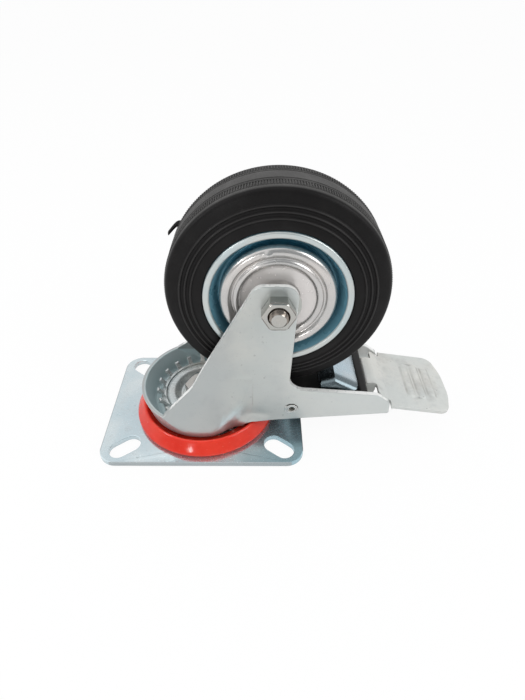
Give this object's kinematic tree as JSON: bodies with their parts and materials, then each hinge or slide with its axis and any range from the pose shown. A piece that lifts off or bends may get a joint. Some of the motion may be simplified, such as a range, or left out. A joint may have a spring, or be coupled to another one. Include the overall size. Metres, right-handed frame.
{
  "type": "swivel caster",
  "caption": "Swivel plate caster with a rubber tyre on a pressed steel rim, a slotted mounting plate, a red dust ring and a foot pedal that locks wheel and swivel.",
  "frame": {"origin": "centre of the plate's mounting face, on the swivel axis", "axes": "+Z from the mounting face towards the wheel (the picture's pose, wheel up), +X from the swivel axis towards the axle and the pedal, +Y along the axle away from the nut"},
  "size_m": [0.1829, 0.08, 0.1335],
  "materials": {
    "plate_zinc": "zinc plated pressed steel, satin, faint blue tint",
    "fork_zinc": "zinc plated pressed steel, satin, light scuffs",
    "head_zinc": "zinc plated pressed steel, bright",
    "rim_zinc": "zinc plated pressed steel, bright with blue tint",
    "disc_bright": "bright plated pressed steel",
    "lever_zinc": "zinc plated pressed steel",
    "pedal_zinc": "zinc plated pressed steel, dull and lightly rubbed",
    "fastener_zinc": "zinc plated fastener",
    "bearing_steel": "bare hardened steel",
    "pin_steel": "rolled spring steel, zinc plated",
    "tyre_rubber": "matte black rubber",
    "ring_red": "glossy red moulded plastic",
    "cage_nylon": "natural nylon",
    "leaf_black": "black finished spring steel"
  },
  "bodies": {
    "plate": {"top_plate": "plate_zinc", "kingpin": "bearing_steel", "kingpin_nut": "fastener_zinc", "lower_race_cap": "head_zinc", "lock_crown": "head_zinc", "dust_ring": "ring_red"},
    "fork": {"fork": "fork_zinc", "upper_balls": "bearing_steel", "lower_balls": "bearing_steel", "axle_bolt": "fastener_zinc", "axle_nut": "fastener_zinc", "axle_sleeve": "bearing_steel", "axle_washers": "fastener_zinc", "pivot_pin": "pin_steel"},
    "wheel": {"tyre": "tyre_rubber", "rim_pan_front": "rim_zinc", "rim_pan_rear": "rim_zinc", "hub_disc_front": "disc_bright", "hub_disc_rear": "disc_bright", "hub_tube": "bearing_steel", "roller_cage": "cage_nylon", "rollers": "bearing_steel"},
    "brake": {"brake_lever": "lever_zinc", "brake_leaf": "leaf_black", "brake_pedal": "pedal_zinc", "brake_rivets": "fastener_zinc"}
  },
  "joints": [
    {"name": "swivel", "type": "hinge", "parent": "plate", "child": "fork", "pos_m": [0, 0, 0.0083], "axis": [0, 0, 1], "continuous": true},
    {"name": "wheel_spin", "type": "hinge", "parent": "fork", "child": "wheel", "pos_m": [0.038, 0, 0.0835], "axis": [0, 1, 0], "continuous": true},
    {"name": "pedal_pivot", "type": "hinge", "parent": "fork", "child": "brake", "pos_m": [0.046, 0, 0.0219], "axis": [0, -1, 0], "range_deg": [0, 8]}
  ]
}
